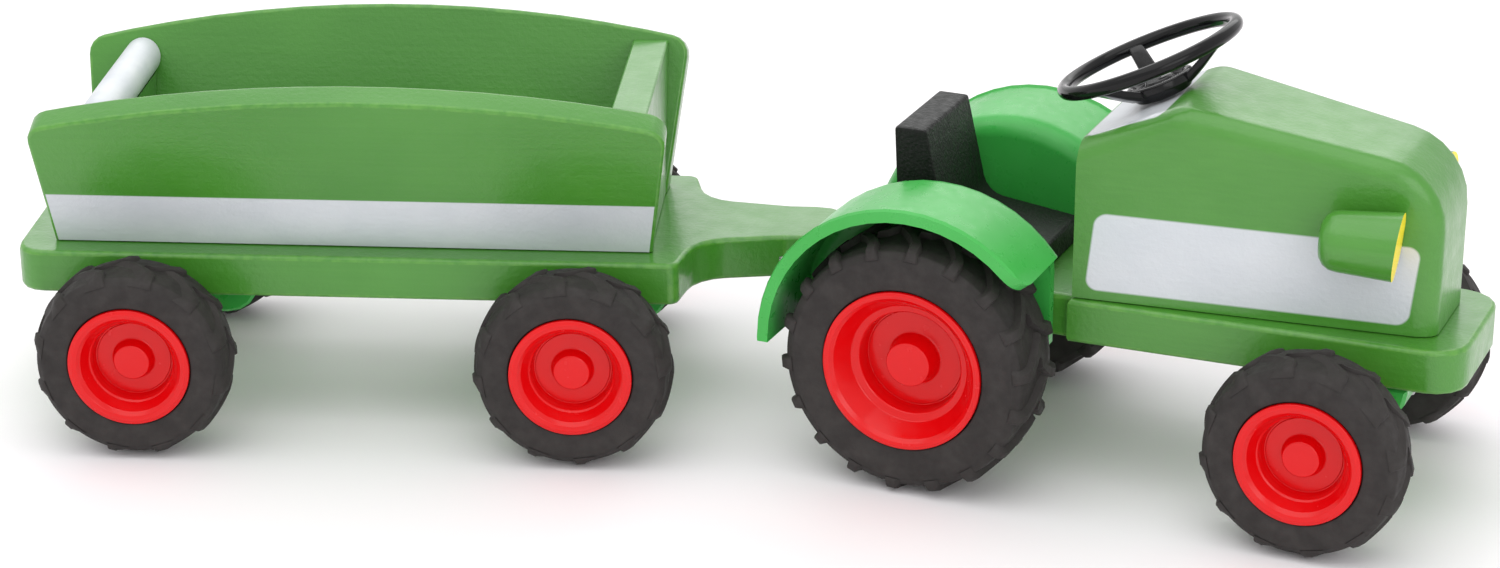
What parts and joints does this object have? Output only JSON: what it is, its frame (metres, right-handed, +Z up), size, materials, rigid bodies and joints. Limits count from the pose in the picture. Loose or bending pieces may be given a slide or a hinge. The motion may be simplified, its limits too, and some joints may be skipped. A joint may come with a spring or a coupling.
{
  "type": "toy tractor with trailer",
  "caption": "Green wooden toy tractor with red rimmed wheels, mudguards and a steering wheel, hitched to a wooden farm trailer with flared sides",
  "frame": {"origin": "on the floor, under the middle of the whole toy", "axes": "+X the way the tractor drives, +Y its left side, +Z up"},
  "size_m": [0.3646, 0.1636, 0.1122],
  "materials": {
    "green_paint": "green stain and lacquer over wood, grain slightly raised",
    "grey_paint": "pale grey satin paint on a wooden dowel",
    "black_paint": "black satin paint on wood",
    "bare_wood": "plain beech dowel",
    "green_plastic": "glossy moulded green plastic",
    "red_plastic": "moulded red plastic, semi-gloss",
    "black_plastic": "moulded black plastic, gloss",
    "tyre_rubber": "matte soft black plastic with moulded lugs",
    "steel": "plain drawn steel wire and screws"
  },
  "bodies": {
    "tractor": {"chassis_board": "green_paint", "fender_left": "green_plastic", "fender_left_screw_front": "steel", "fender_left_screw_rear": "steel", "fender_right": "green_plastic", "fender_right_screw_front": "steel", "fender_right_screw_rear": "steel", "front_axle_bracket": "green_plastic", "front_axle_bracket_screw_front": "steel", "front_axle_bracket_screw_rear": "steel", "headlight_left": "green_paint", "headlight_right": "green_paint", "hitch_pin": "bare_wood", "hood": "green_paint", "rear_axle_bracket": "green_plastic", "rear_axle_bracket_screw_front": "steel", "rear_axle_bracket_screw_rear": "steel", "seat": "black_paint", "steering_pin": "steel"},
    "steering": {"steering_wheel": "black_plastic"},
    "trailer": {"front_panel": "green_paint", "rear_panel": "green_paint", "rear_rail": "grey_paint", "side_board_left": "green_paint", "side_board_right": "green_paint", "trailer_board": "green_paint", "trailer_front_bracket": "green_plastic", "trailer_front_bracket_screw_front": "steel", "trailer_front_bracket_screw_rear": "steel", "trailer_rear_bracket": "green_plastic", "trailer_rear_bracket_screw_front": "steel", "trailer_rear_bracket_screw_rear": "steel"},
    "tractor_rear_wheels": {"rear_axle": "steel", "rear_rim_left": "red_plastic", "rear_rim_right": "red_plastic", "rear_tyre_left": "tyre_rubber", "rear_tyre_right": "tyre_rubber"},
    "tractor_front_wheels": {"front_axle": "steel", "front_rim_left": "red_plastic", "front_rim_right": "red_plastic", "front_tyre_left": "tyre_rubber", "front_tyre_right": "tyre_rubber"},
    "trailer_rear_wheels": {"trailer_rear_axle": "steel", "trailer_rear_rim_left": "red_plastic", "trailer_rear_rim_right": "red_plastic", "trailer_rear_tyre_left": "tyre_rubber", "trailer_rear_tyre_right": "tyre_rubber"},
    "trailer_front_wheels": {"trailer_front_axle": "steel", "trailer_front_rim_left": "red_plastic", "trailer_front_rim_right": "red_plastic", "trailer_front_tyre_left": "tyre_rubber", "trailer_front_tyre_right": "tyre_rubber"}
  },
  "joints": [
    {"name": "rear_axle_spin", "type": "hinge", "parent": "tractor", "child": "tractor_rear_wheels", "pos_m": [0.05563, 0.03156, 0.0321], "axis": [0, 1, 0], "continuous": true},
    {"name": "front_axle_spin", "type": "hinge", "parent": "tractor", "child": "tractor_front_wheels", "pos_m": [0.15183, 0.03156, 0.0245], "axis": [0, 1, 0], "continuous": true},
    {"name": "trailer_front_axle_spin", "type": "hinge", "parent": "trailer", "child": "trailer_front_wheels", "pos_m": [-0.04077, 0.01238, 0.0245], "axis": [-0.3437, 0.9391, 0], "continuous": true},
    {"name": "trailer_rear_axle_spin", "type": "hinge", "parent": "trailer", "child": "trailer_rear_wheels", "pos_m": [-0.14238, -0.0248, 0.0245], "axis": [-0.3437, 0.9391, 0], "continuous": true},
    {"name": "steering_turn", "type": "hinge", "parent": "tractor", "child": "steering", "pos_m": [0.10283, 0.03156, 0.09191], "axis": [-0.4218, 0, 0.9067], "continuous": true},
    {"name": "hitch_yaw", "type": "hinge", "parent": "tractor", "child": "trailer", "pos_m": [0.01163, 0.03156, 0.041], "axis": [0, 0, 1], "range_deg": [-60, 20]}
  ]
}
